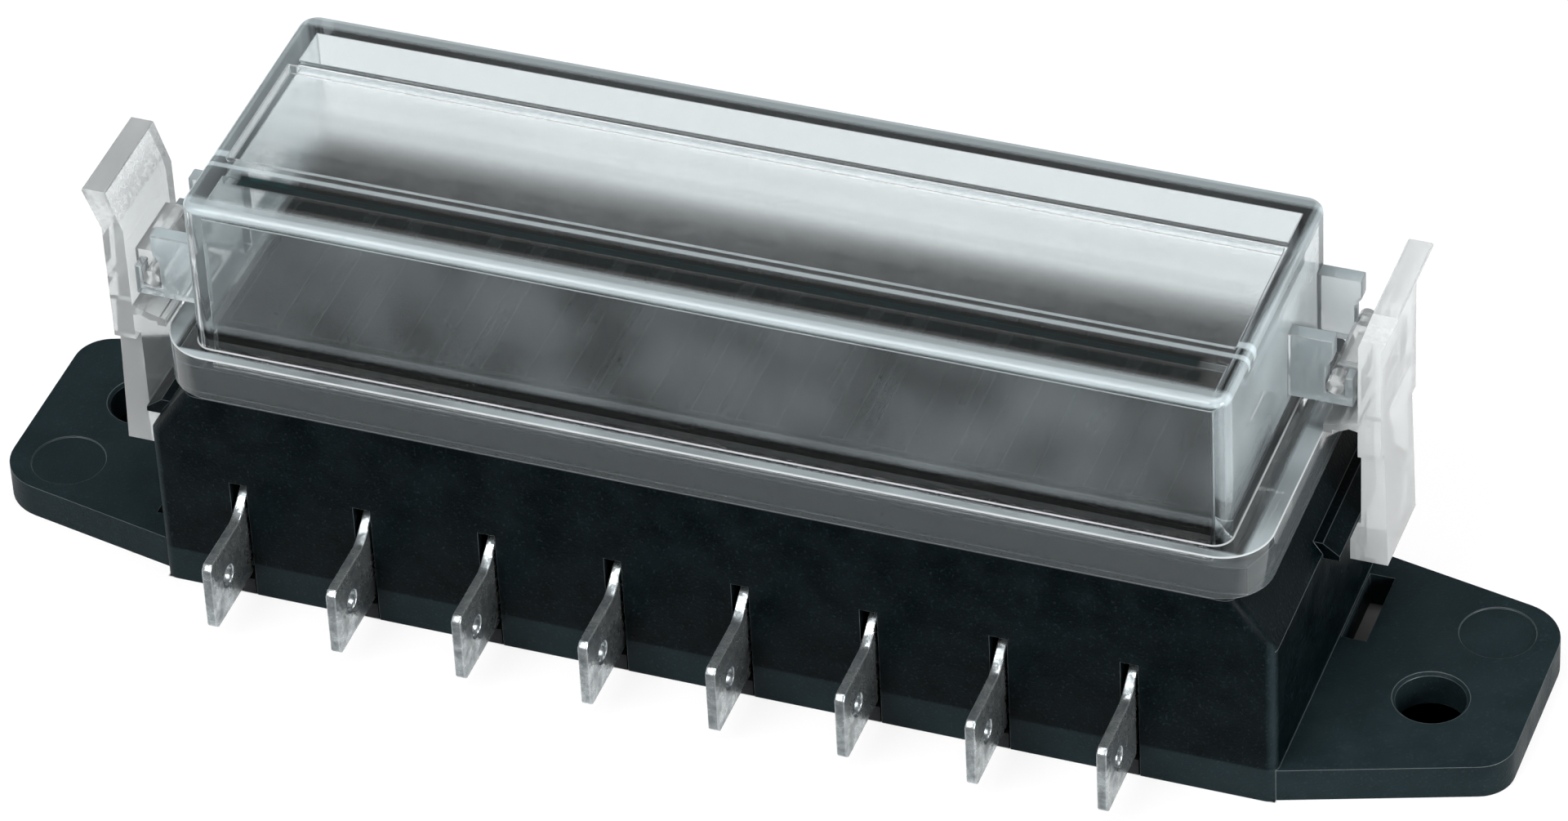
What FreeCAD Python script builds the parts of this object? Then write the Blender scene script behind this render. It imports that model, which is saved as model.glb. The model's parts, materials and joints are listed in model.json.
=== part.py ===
import FreeCAD, Part
import Sketcher
import os

# Eight-way blade fuse box: black moulded housing with two mounting ears,
# clear cover held by two sprung end latches, tin plated spade terminals.
# Frame: X along the row of fuses, Y across it, Z up, z = 0 on the mounting face.

os.makedirs("parts", exist_ok=True)
doc = FreeCAD.newDocument("blade_fuse_box")
sheet = doc.addObject("Spreadsheet::Sheet", "sizes")
V = FreeCAD.Vector

# Driving sizes in millimetres
SIZES = {
    # Housing block
    "body_long": 91.4,
    "body_deep": 28.2,
    "body_high": 19.2,
    "end_slope_long": 3.2,
    "end_slope_high": 4.35,
    "body_round": 0.9,
    "wall": 1.7,
    # Plinth and rim that locate the cover
    "plinth_in": 1.0,
    "plinth_high": 2.0,
    "rim_high": 5.8,
    "rim_gap": 0.25,
    "rim_wall": 0.95,
    "rim_end": 0.75,
    "skirt_gap": 0.2,
    # Fuse bays
    "fuse_count": 8,
    "bay_wide": 5.6,
    "bay_sunk": 1.0,
    "floor_thick": 1.6,
    "blade_slot_wide": 1.4,
    "slot_gap": 0.3,
    "relief_wide": 2.6,
    "relief_deep": 4.0,
    # Terminal chambers under the bays
    "chamber_gap": 0.5,
    "chamber_past": 0.9,
    "tab_shift": 2.2,
    "tab_slot_gap": 0.3,
    "tab_slot_play": 0.9,
    # Insulating plate that closes the underside
    "plate_thick": 1.5,
    "plate_gap": 0.12,
    "tooth_back": 0.08,
    "stake_radius": 1.0,
    "stake_gap": 0.15,
    "stake_short": 0.25,
    "stake_in": 2.1,
    "stake_side": 3.4,
    # Mounting ears
    "ear_thick": 3.0,
    "ear_long": 16.4,
    "ear_steep_root": 13.7,
    "ear_steep_tip": 8.2,
    "ear_easy_root": 13.0,
    "ear_easy_tip": 9.6,
    "ear_steep_round": 3.0,
    "ear_easy_round": 4.2,
    "ear_root_into": 3.0,
    "hole_out": 8.7,
    "hole_y": 2.3,
    "hole_radius": 2.75,
    "hole_edge": 0.25,
    "pin_mark_out": 11.5,
    "pin_mark_y": 6.4,
    "pin_mark_radius": 3.0,
    "pin_mark_deep": 0.12,
    # Catch rib and the mould opening under it
    "catch_drop": 0.4,
    "catch_out": 1.35,
    "catch_lip": 0.45,
    "catch_rise": 1.45,
    "catch_before": 3.95,
    "opening_in": 0.45,
    "opening_short": 1.2,
    "opening_gap": 0.15,
    "opening_wide": 2.0,
    # Cover
    "cover_high": 17.8,
    "cover_wall": 1.5,
    "cover_corner": 1.5,
    "cover_edge": 0.6,
    "skirt_high": 4.1,
    "ledge_thick": 1.6,
    "end_ledge": 2.8,
    "side_ledge": 1.2,
    "skirt_back": 1.2,
    "skirt_wall": 1.5,
    "skirt_corner": 4.0,
    "pocket_edge": 1.4,
    "pocket_deep": 12.2,
    "pocket_down": 0.8,
    # Bearing ears on the cover ends
    "bearing_inset": 0.25,
    "bearing_thick": 1.3,
    "bearing_drop": 5.0,
    "bearing_out": 3.5,
    "bearing_below": 1.7,
    "bearing_above": 1.0,
    "pivot_out": 3.7,
    "pivot_rise": 4.5,
    "pin_radius": 0.7,
    "pin_gap": 0.05,
    "prong_thick": 0.65,
    # Latch lever
    "lever_side": 2.65,
    "lever_wide": 9.4,
    "lever_thick": 1.8,
    "lever_drop": 1.3,
    "arm_below": 1.7,
    "leg_inset": 0.95,
    "leg_lean": 0.35,
    "catch_clear": 0.2,
    "catch_play": 0.1,
    "foot_high": 3.75,
    "toe_in": 0.85,
    "flare_high": 3.6,
    "flare_out": 1.4,
    "flare_thick": 2.05,
    "tab_edge": 0.2,
    "knuckle_above": 1.5,
    "knuckle_below": 1.6,
    "lug_gap": 0.15,
    "leaf_thick": 0.7,
    "leaf_rise": 0.5,
    "leaf_arch": 0.7,
    "leaf_gap": 0.05,
    "leaf_end": 0.15,
    # Terminals
    "tab_thick": 0.8,
    "tab_high": 6.3,
    "tab_low": 2.0,
    "tab_reach": 7.0,
    "tab_bevel": 0.4,
    "tab_hole_radius": 0.9,
    "tab_hole_in": 4.0,
    "shoulder_out": 1.3,
    "shoulder_rise": 1.9,
    "jog_in": 2.3,
    "clip_near": 4.3,
    "clip_long": 5.4,
    "clip_head": 0.5,
    "clip_high": 7.0,
    "clip_wrap": 1.8,
    "clip_gap": 0.5,
    "clip_bulge": 1.5,
}

# Sizes that follow from the driving ones
FOLLOWS = {
    "plinth_long": "(body_long-2*end_slope_long-plinth_in)",
    "rim_top": "(body_high+rim_high)",
    "skirt_long": "(body_long-2*skirt_back)",
    "cover_long": "(skirt_long-2*end_ledge)",
    "cover_deep": "(body_deep-2*side_ledge)",
    "cover_top": "(body_high+cover_high)",
    "ledge_top": "(body_high+skirt_high)",
    "pocket_long": "(cover_long-2*pocket_edge)",
    "rim_long": "(cover_long-2*cover_wall-2*rim_gap)",
    "rim_deep": "(cover_deep-2*cover_wall-2*rim_gap)",
    "bay_long": "(rim_deep-2*rim_wall)",
    "bay_floor": "(body_high-bay_sunk)",
    "fuse_pitch": "((rim_long-bay_wide-2*rim_end)/(fuse_count-1))",
    "chamber_wide": "(2*tab_shift+tab_thick+2*chamber_gap)",
    "chamber_near": "(clip_near-chamber_past)",
    "blade_slot_near": "(clip_near-slot_gap)",
    "blade_slot_far": "(clip_near+clip_long+slot_gap)",
    "tab_slot_wide": "(tab_thick+2*tab_slot_gap)",
    "tab_slot_top": "(tab_low+tab_high+shoulder_rise+tab_slot_play)",
    "stake_x": "(body_long/2-wall-stake_in)",
    "stake_y": "(body_deep/2-wall-stake_side)",
    "stake_hole_radius": "(stake_radius+stake_gap)",
    "ear_tip": "(body_long/2+ear_long)",
    "hole_x": "(body_long/2+hole_out)",
    "pin_mark_x": "(body_long/2+pin_mark_out)",
    "catch_under": "(body_high-end_slope_high-catch_drop)",
    "catch_top": "(catch_under+catch_rise)",
    "catch_near": "(lever_near-catch_before)",
    "catch_far": "(lever_near+lever_wide)",
    "opening_near": "(lever_near+opening_in)",
    "opening_far": "(lever_near+lever_wide-opening_short)",
    "lever_near": "(body_deep/2-lever_side-lever_wide)",
    "pivot_x": "(cover_long/2+pivot_out)",
    "pivot_z": "(ledge_top+pivot_rise)",
    "bearing_top": "(cover_top-bearing_drop)",
    "bearing_foot": "(pivot_z-bearing_below)",
    "bearing_shoulder": "(pivot_z+bearing_above)",
    "lever_inner": "(body_long/2+catch_out+catch_clear)",
    "lever_foot": "(catch_under-catch_play-foot_high)",
    "lever_top": "(cover_top-lever_drop)",
    "flare_start": "(lever_top-flare_high)",
    "arm_foot": "(ledge_top-arm_below)",
    "knuckle_top": "(pivot_z+knuckle_above)",
    "knuckle_low": "(pivot_z-knuckle_below)",
    "leaf_join": "(ledge_top+leaf_rise)",
    "leaf_peak": "(leaf_join+leaf_arch)",
    "leaf_tip_x": "(skirt_long/2+leaf_gap)",
    "leaf_tip_z": "(ledge_top+leaf_end)",
    "clip_top": "(bay_floor-floor_thick-clip_head)",
    "clip_plate_top": "(clip_top-clip_high)",
    "clip_root": "(clip_plate_top-clip_wrap)",
}

for row, (alias, number) in enumerate(SIZES.items(), 1):
    sheet.set("A%d" % row, alias.replace("_", " "))
    sheet.set("B%d" % row, str(number))
    sheet.setAlias("B%d" % row, alias)
doc.recompute()


def words_of(text):
    """Split a size expression into names, numbers and signs."""
    parts = []
    word = ""
    for ch in text + " ":
        if ch.isalnum() or ch in "_.":
            word += ch
            continue
        if word:
            parts.append(word)
            word = ""
        if ch != " ":
            parts.append(ch)
    return parts


def opened(text):
    """The same expression in driving sizes only."""
    parts = []
    for part in words_of(text):
        if part in FOLLOWS:
            parts += opened(FOLLOWS[part])
        else:
            parts.append(part)
    return parts


def named(text):
    """Expression for a property: each size with the sheet's name before it."""
    return "".join("sizes." + p if p[0].isalpha() else p for p in opened(text))


def val(text):
    """Value of a size expression, for the first placing of a point."""
    tokens = opened(text)

    def single():
        token = tokens.pop(0)
        if token == "(":
            inner = total()
            tokens.pop(0)
            return inner
        if token == "-":
            return -single()
        if token[0].isalpha():
            return float(sheet.get(token))
        return float(token)

    def product():
        left = single()
        while tokens and tokens[0] in "*/":
            sign = tokens.pop(0)
            right = single()
            left = left * right if sign == "*" else left / right
        return left

    def total():
        left = product()
        while tokens and tokens[0] in "+-":
            sign = tokens.pop(0)
            right = product()
            left = left + right if sign == "+" else left - right
        return left

    return total()


def new_body(label):
    body = doc.addObject("PartDesign::Body", label)
    body.Label = label
    return body


def origin_of(body, role):
    for feature in body.Origin.OriginFeatures:
        if feature.Role == role:
            return feature
    return None


def new_sketch(body, plane, name, lift):
    sketch = body.newObject("Sketcher::SketchObject", name)
    sketch.AttachmentSupport = [(origin_of(body, plane), "")]
    sketch.MapMode = "FlatFace"
    sketch.setExpression("AttachmentOffset.Base.z", named(lift))
    return sketch


def outline(sketch, corners):
    """Closed outline whose corners are held by size expressions."""
    first = sketch.GeometryCount
    spots = [V(val(a), val(b), 0) for a, b in corners]
    count = len(spots)
    for i in range(count):
        sketch.addGeometry(Part.LineSegment(spots[i], spots[(i + 1) % count]), False)
    for i in range(count):
        here = first + i
        after = first + (i + 1) % count
        sketch.addConstraint(Sketcher.Constraint("Coincident", here, 2, after, 1))
    for i in range(count):
        for kind, part, text in (("DistanceX", spots[i].x, corners[i][0]),
                                 ("DistanceY", spots[i].y, corners[i][1])):
            at = sketch.addConstraint(Sketcher.Constraint(kind, -1, 1, first + i, 1, part))
            sketch.setExpression("Constraints[%d]" % at, named(text))


def disc(sketch, x, y, radius):
    """Circle whose centre and radius are held by size expressions."""
    spot = V(val(x), val(y), 0)
    at = sketch.addGeometry(Part.Circle(spot, V(0, 0, 1), val(radius)), False)
    for kind, part, text in (("DistanceX", spot.x, x), ("DistanceY", spot.y, y)):
        held = sketch.addConstraint(Sketcher.Constraint(kind, -1, 1, at, 3, part))
        sketch.setExpression("Constraints[%d]" % held, named(text))
    held = sketch.addConstraint(Sketcher.Constraint("Radius", at, val(radius)))
    sketch.setExpression("Constraints[%d]" % held, named(radius))


def box_outline(x0, y0, x1, y1):
    return [(x0, y0), (x1, y0), (x1, y1), (x0, y1)]


def centred(long, deep):
    return box_outline("-(%s)/2" % long, "-(%s)/2" % deep, "(%s)/2" % long, "(%s)/2" % deep)


def raise_from(body, sketch, name, length, backward=False, both=False):
    pad = body.newObject("PartDesign::Pad", name)
    pad.Profile = sketch
    pad.setExpression("Length", named(length))
    pad.Reversed = backward
    pad.Midplane = both
    doc.recompute()
    return pad


def cut_from(body, sketch, name, length, backward=False, both=False):
    """Pocket, which has to take something away."""
    before = body.Shape.Volume
    pocket = body.newObject("PartDesign::Pocket", name)
    pocket.Profile = sketch
    pocket.setExpression("Length", named(length))
    pocket.Reversed = backward
    pocket.Midplane = both
    doc.recompute()
    if before - body.Shape.Volume < 1e-4:
        raise RuntimeError("nothing cut by " + name)
    return pocket


def turned_copy(body, feature, name):
    """Second copy of a feature, half a turn round the vertical axis."""
    pattern = body.newObject("PartDesign::PolarPattern", name)
    pattern.Originals = [feature]
    pattern.Axis = (origin_of(body, "Z_Axis"), [""])
    pattern.Angle = 360
    pattern.Occurrences = 2
    body.Tip = pattern
    doc.recompute()
    return pattern


def repeat(body, feature, name, count):
    """Copies of a feature along the row, one per fuse pitch."""
    pattern = body.newObject("PartDesign::LinearPattern", name)
    pattern.Originals = [feature]
    pattern.Direction = (origin_of(body, "X_Axis"), [""])
    pattern.setExpression("Length", named("(%s-1)*fuse_pitch" % count))
    pattern.setExpression("Occurrences", named(count))
    body.Tip = pattern
    doc.recompute()
    return pattern


def round_edges(body, name, radius, wanted):
    """Fillet on every edge for which wanted(edge) is true."""
    base = body.Tip
    edges = ["Edge%d" % (i + 1) for i, e in enumerate(base.Shape.Edges) if wanted(e)]
    fillet = body.newObject("PartDesign::Fillet", name)
    fillet.Base = (base, edges)
    fillet.setExpression("Radius", named(radius))
    doc.recompute()
    return fillet


def bevel_edges(body, name, width, wanted):
    base = body.Tip
    edges = ["Edge%d" % (i + 1) for i, e in enumerate(base.Shape.Edges) if wanted(e)]
    chamfer = body.newObject("PartDesign::Chamfer", name)
    chamfer.Base = (base, edges)
    chamfer.setExpression("Size", named(width))
    doc.recompute()
    return chamfer


def is_upright(edge):
    box = edge.BoundBox
    return box.XLength < 1e-6 and box.YLength < 1e-6 and box.ZLength > 1e-3


def near(a, b):
    return abs(a - b) < 0.02


def first_fuse():
    return "-(fuse_count-1)/2*fuse_pitch"


def make_housing():
    """Black moulded base: block, ears, catch ribs, plinth, rim, bays and chambers."""
    body = new_body("housing")
    half = "body_long/2"
    profile = new_sketch(body, "XZ_Plane", "block_profile", "0")
    outline(profile, [
        ("-body_long/2", "0"), (half, "0"), (half, "body_high-end_slope_high"),
        ("body_long/2-end_slope_long", "body_high"),
        ("-body_long/2+end_slope_long", "body_high"),
        ("-body_long/2", "body_high-end_slope_high")])
    raise_from(body, profile, "block", "body_deep", both=True)

    x_end = val("body_long") / 2
    y_end = val("body_deep") / 2

    def block_corner(edge):
        box = edge.BoundBox
        on_side = near(abs(box.YMax), y_end) and box.YLength < 1e-6
        at_end = near(max(abs(box.XMin), abs(box.XMax)), x_end)
        return on_side and at_end and box.ZLength > 0.5

    round_edges(body, "block_corners", "body_round", block_corner)

    ear = new_sketch(body, "XY_Plane", "ear_outline", "0")
    outline(ear, [
        ("body_long/2-ear_root_into", "-ear_steep_root"),
        ("body_long/2", "-ear_steep_root"), ("ear_tip", "-ear_steep_tip"),
        ("ear_tip", "ear_easy_tip"), ("body_long/2", "ear_easy_root"),
        ("body_long/2-ear_root_into", "ear_easy_root")])
    pad = raise_from(body, ear, "ear", "ear_thick")
    turned_copy(body, pad, "ear_pair")
    tip = val("ear_tip")

    def steep_corner(edge):
        box = edge.BoundBox
        spot = box.Center
        return (is_upright(edge) and near(abs(spot.x), tip)
                and near(spot.y * (1 if spot.x < 0 else -1), val("ear_steep_tip")))

    def easy_corner(edge):
        box = edge.BoundBox
        spot = box.Center
        return (is_upright(edge) and near(abs(spot.x), tip)
                and near(spot.y * (1 if spot.x > 0 else -1), val("ear_easy_tip")))

    round_edges(body, "ear_steep_corners", "ear_steep_round", steep_corner)
    round_edges(body, "ear_easy_corners", "ear_easy_round", easy_corner)

    plinth = new_sketch(body, "XY_Plane", "plinth_outline", "body_high")
    outline(plinth, centred("plinth_long", "body_deep-2*skirt_wall-2*skirt_gap"))
    raise_from(body, plinth, "plinth", "plinth_high")

    rim = new_sketch(body, "XY_Plane", "rim_outline", "body_high")
    outline(rim, centred("rim_long", "rim_deep"))
    raise_from(body, rim, "rim", "rim_top-body_high")

    catch = new_sketch(body, "XZ_Plane", "catch_profile", "-catch_near")
    outline(catch, [
        ("body_long/2-catch_out", "catch_under"), ("body_long/2+catch_out", "catch_under"),
        ("body_long/2+catch_out", "catch_under+catch_lip"), ("body_long/2", "catch_top"),
        ("body_long/2-catch_out", "catch_top")])
    pad = raise_from(body, catch, "catch", "catch_far-catch_near", backward=True)
    turned_copy(body, pad, "catch_pair")

    bay = new_sketch(body, "XY_Plane", "bay_outline", "rim_top")
    middle = first_fuse()
    outline(bay, box_outline(middle + "-bay_wide/2", "-bay_long/2", middle + "+bay_wide/2", "bay_long/2"))
    pocket = cut_from(body, bay, "bay", "rim_top-bay_floor")
    repeat(body, pocket, "bays", "fuse_count")

    relief = new_sketch(body, "XY_Plane", "relief_outline", "rim_top")
    between = middle + "+fuse_pitch/2"
    outline(relief, box_outline(between + "-relief_wide/2", "-bay_long/2",
                                between + "+relief_wide/2", "bay_long/2"))
    pocket = cut_from(body, relief, "relief", "relief_deep")
    repeat(body, pocket, "reliefs", "(fuse_count-1)")

    plate_seat = new_sketch(body, "XY_Plane", "plate_seat_outline", "0")
    outline(plate_seat, centred("body_long-2*wall", "body_deep-2*wall"))
    cut_from(body, plate_seat, "plate_seat", "plate_thick", backward=True)

    chamber = new_sketch(body, "XY_Plane", "chamber_outline", "0")
    for side in ("", "-"):
        outline(chamber, box_outline(
            middle + "-chamber_wide/2", side + "chamber_near",
            middle + "+chamber_wide/2", side + "(body_deep/2-wall)"))
    pocket = cut_from(body, chamber, "chamber", "bay_floor-floor_thick", backward=True)
    repeat(body, pocket, "chambers", "fuse_count")

    slots = new_sketch(body, "XY_Plane", "blade_slot_outline", "bay_floor")
    for side in ("", "-"):
        outline(slots, box_outline(
            middle + "-blade_slot_wide/2", side + "blade_slot_near",
            middle + "+blade_slot_wide/2", side + "blade_slot_far"))
    pocket = cut_from(body, slots, "blade_slot", "floor_thick")
    repeat(body, pocket, "blade_slots", "fuse_count")

    front = middle + "-tab_shift"
    wall_slot = new_sketch(body, "XY_Plane", "tab_slot_outline", "0")
    outline(wall_slot, box_outline(front + "-tab_slot_wide/2", "-body_deep/2-wall",
                                   front + "+tab_slot_wide/2", "-body_deep/2+2*wall"))
    rear = middle + "+tab_shift"
    outline(wall_slot, box_outline(rear + "-tab_slot_wide/2", "body_deep/2-2*wall",
                                   rear + "+tab_slot_wide/2", "body_deep/2+wall"))
    pocket = cut_from(body, wall_slot, "tab_slot", "tab_slot_top", backward=True)
    repeat(body, pocket, "tab_slots", "fuse_count")

    stakes = new_sketch(body, "XY_Plane", "stake_outline", "plate_thick")
    for sx in ("", "-"):
        for sy in ("", "-"):
            disc(stakes, sx + "stake_x", sy + "stake_y", "stake_radius")
    raise_from(body, stakes, "stakes", "plate_thick-stake_short", backward=True)

    opening = new_sketch(body, "XY_Plane", "opening_outline", "0")
    outline(opening, box_outline("body_long/2+opening_gap", "opening_near",
                                 "body_long/2+opening_gap+opening_wide", "opening_far"))
    pocket = cut_from(body, opening, "opening", "ear_thick", backward=True)
    turned_copy(body, pocket, "opening_pair")

    hole = new_sketch(body, "XY_Plane", "hole_outline", "0")
    disc(hole, "hole_x", "-hole_y", "hole_radius")
    pocket = cut_from(body, hole, "mount_hole", "ear_thick", backward=True)
    turned_copy(body, pocket, "mount_holes")

    def hole_rim(edge):
        box = edge.BoundBox
        return (near(box.XLength, 2 * val("hole_radius")) and near(box.ZMin, val("ear_thick"))
                and near(abs(box.Center.x), val("hole_x")))

    bevel_edges(body, "hole_rims", "hole_edge", hole_rim)

    mark = new_sketch(body, "XY_Plane", "pin_mark_outline", "ear_thick")
    disc(mark, "pin_mark_x", "pin_mark_y", "pin_mark_radius")
    pocket = cut_from(body, mark, "pin_mark", "pin_mark_deep")
    turned_copy(body, pocket, "pin_marks")
    return body


def make_plate():
    """Insulating plate let into the underside: four stake holes, teeth under the blades."""
    body = new_body("bottom_plate")
    sheet_outline = new_sketch(body, "XY_Plane", "plate_outline", "0")
    outline(sheet_outline, centred("body_long-2*wall-2*plate_gap", "body_deep-2*wall-2*plate_gap"))
    for sx in ("", "-"):
        for sy in ("", "-"):
            disc(sheet_outline, sx + "stake_x", sy + "stake_y", "stake_hole_radius")
    raise_from(body, sheet_outline, "plate", "plate_thick")

    middle = first_fuse()
    half = "tab_slot_wide/2-plate_gap"
    near, far = "(body_deep/2-wall-wall/2)", "(body_deep/2-tooth_back)"
    teeth = new_sketch(body, "XY_Plane", "tooth_outline", "0")
    front, rear = middle + "-tab_shift", middle + "+tab_shift"
    outline(teeth, box_outline(front + "-(%s)" % half, "-" + far, front + "+" + half, "-" + near))
    outline(teeth, box_outline(rear + "-(%s)" % half, near, rear + "+" + half, far))
    pad = raise_from(body, teeth, "tooth", "plate_thick")
    repeat(body, pad, "teeth", "fuse_count")
    return body


def make_cover():
    """Clear cover: tall box, ledge, skirt, label pocket and four bearing ears."""
    body = new_body("cover")
    skirt = new_sketch(body, "XY_Plane", "skirt_outline", "body_high")
    outline(skirt, centred("skirt_long", "body_deep"))
    raise_from(body, skirt, "skirt", "ledge_top-body_high")
    round_edges(body, "skirt_corners", "skirt_corner", is_upright)

    box = new_sketch(body, "XY_Plane", "box_outline", "ledge_top")
    outline(box, centred("cover_long", "cover_deep"))
    raise_from(body, box, "box", "cover_top-ledge_top")

    def box_corner(edge):
        return is_upright(edge) and near(edge.BoundBox.ZMax, val("cover_top"))

    round_edges(body, "box_corners", "cover_corner", box_corner)

    def top_edge(edge):
        return near(edge.BoundBox.ZMin, val("cover_top")) and edge.BoundBox.ZLength < 1e-6

    round_edges(body, "top_edges", "cover_edge", top_edge)

    pocket = new_sketch(body, "XY_Plane", "label_outline", "cover_top")
    outline(pocket, centred("pocket_long", "pocket_deep"))
    cut_from(body, pocket, "label_pocket", "pocket_down")

    inside = new_sketch(body, "XY_Plane", "inside_outline", "body_high")
    outline(inside, centred("cover_long-2*cover_wall", "cover_deep-2*cover_wall"))
    cut_from(body, inside, "inside", "cover_top-pocket_down-cover_wall-body_high", backward=True)

    strips = new_sketch(body, "XY_Plane", "strip_outline", "cover_top-pocket_down-cover_wall")
    for side in ("", "-"):
        outline(strips, box_outline("-cover_long/2+cover_wall", side + "(pocket_deep/2+cover_wall)",
                                    "cover_long/2-cover_wall", side + "(cover_deep/2-cover_wall)"))
    cut_from(body, strips, "strips", "pocket_down", backward=True)

    under = new_sketch(body, "XY_Plane", "under_outline", "body_high")
    outline(under, centred("skirt_long-2*skirt_wall", "body_deep-2*skirt_wall"))
    cut_from(body, under, "under_ledge", "ledge_top-ledge_thick-body_high", backward=True)

    near_ear = "lever_near+bearing_inset"
    far_ear = "lever_near+lever_wide-bearing_inset-bearing_thick"
    for name, start in (("near", near_ear), ("far", far_ear)):
        ear = new_sketch(body, "XZ_Plane", name + "_bearing_profile", "-(%s)" % start)
        slot = "(pin_radius+pin_gap)"
        outline(ear, [
            ("cover_long/2-cover_wall/2", "bearing_foot"),
            ("pivot_x+%s+prong_thick" % slot, "bearing_foot"),
            ("pivot_x+%s+prong_thick" % slot, "bearing_shoulder"),
            ("pivot_x+%s" % slot, "bearing_shoulder"),
            ("pivot_x+%s" % slot, "pivot_z-%s" % slot),
            ("pivot_x-%s" % slot, "pivot_z-%s" % slot),
            ("pivot_x-%s" % slot, "bearing_shoulder+pin_radius"),
            ("cover_long/2+bearing_out", "bearing_top-bearing_out/2"),
            ("cover_long/2+bearing_out", "bearing_top"),
            ("cover_long/2-cover_wall/2", "bearing_top")])
        pad = raise_from(body, ear, name + "_bearing", "bearing_thick", backward=True)
        turned_copy(body, pad, name + "_bearings")
    return body


def make_latch(label, half_turn):
    """Clear latch lever: flared tab, plate, hooked foot, trunnion and return leaf."""
    body = new_body(label)
    middle = "(lever_near+lever_wide/2)"
    outer = "lever_inner+lever_thick"
    arm = new_sketch(body, "XZ_Plane", label + "_arm_profile", "-lever_near")
    outline(arm, [
        ("lever_inner", "arm_foot"), (outer, "arm_foot"), (outer, "flare_start"),
        (outer + "+flare_out", "lever_top"), (outer + "+flare_out-flare_thick", "lever_top"),
        ("lever_inner", "flare_start")])
    raise_from(body, arm, label + "_arm", "lever_wide", backward=True)

    leg = new_sketch(body, "XZ_Plane", label + "_leg_profile", "-(lever_near+leg_inset)")
    outline(leg, [
        ("lever_inner-toe_in", "lever_foot"), (outer + "+leg_lean", "lever_foot"),
        (outer, "arm_foot"), (outer, "leaf_join"), ("lever_inner", "leaf_join"),
        ("lever_inner", "lever_foot+foot_high"),
        ("lever_inner-toe_in", "lever_foot+foot_high")])
    raise_from(body, leg, label + "_leg", "lever_wide-2*leg_inset", backward=True)

    inner_near = "lever_near+bearing_inset+bearing_thick+lug_gap"
    inner_wide = "(lever_wide-2*bearing_inset-2*bearing_thick-2*lug_gap)"
    knuckle = new_sketch(body, "XZ_Plane", label + "_knuckle_profile", "-(%s)" % inner_near)
    outline(knuckle, [
        ("pivot_x-pin_radius", "knuckle_low"), ("lever_inner+lever_thick/2", "knuckle_low"),
        ("lever_inner+lever_thick/2", "knuckle_top"), ("pivot_x", "knuckle_top"),
        ("pivot_x-pin_radius", "pivot_z+pin_radius/2")])
    raise_from(body, knuckle, label + "_knuckle", inner_wide, backward=True)

    pin = new_sketch(body, "XZ_Plane", label + "_pin_profile", "-(lever_near+bearing_inset)")
    disc(pin, "pivot_x", "pivot_z", "pin_radius")
    raise_from(body, pin, label + "_pin", "lever_wide-2*bearing_inset", backward=True)

    leaf = new_sketch(body, "XZ_Plane", label + "_leaf_profile", "-lever_near")
    outline(leaf, [
        ("lever_inner+lever_thick/2", "leaf_join"),
        ("lever_inner-leaf_thick", "leaf_join+leaf_thick/2"),
        ("(lever_inner+leaf_tip_x)/2", "leaf_peak-leaf_thick"),
        ("leaf_tip_x+leaf_thick", "leaf_join"),
        ("leaf_tip_x+leaf_thick", "leaf_tip_z"),
        ("leaf_tip_x", "leaf_tip_z"),
        ("leaf_tip_x", "leaf_join+leaf_thick/2"),
        ("(lever_inner+leaf_tip_x)/2", "leaf_peak"),
        ("lever_inner+lever_thick/2", "leaf_join+2*leaf_thick")])
    raise_from(body, leaf, label + "_leaf", "lever_wide", backward=True)

    def tab_tip(edge):
        box = edge.BoundBox
        return box.YLength > 1 and near(box.ZMin, val("lever_top"))

    round_edges(body, label + "_tab_edges", "tab_edge", tab_tip)
    if half_turn:
        body.Placement = FreeCAD.Placement(V(0, 0, 0), FreeCAD.Rotation(V(0, 0, 1), 180))
        doc.recompute()
    return body


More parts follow.
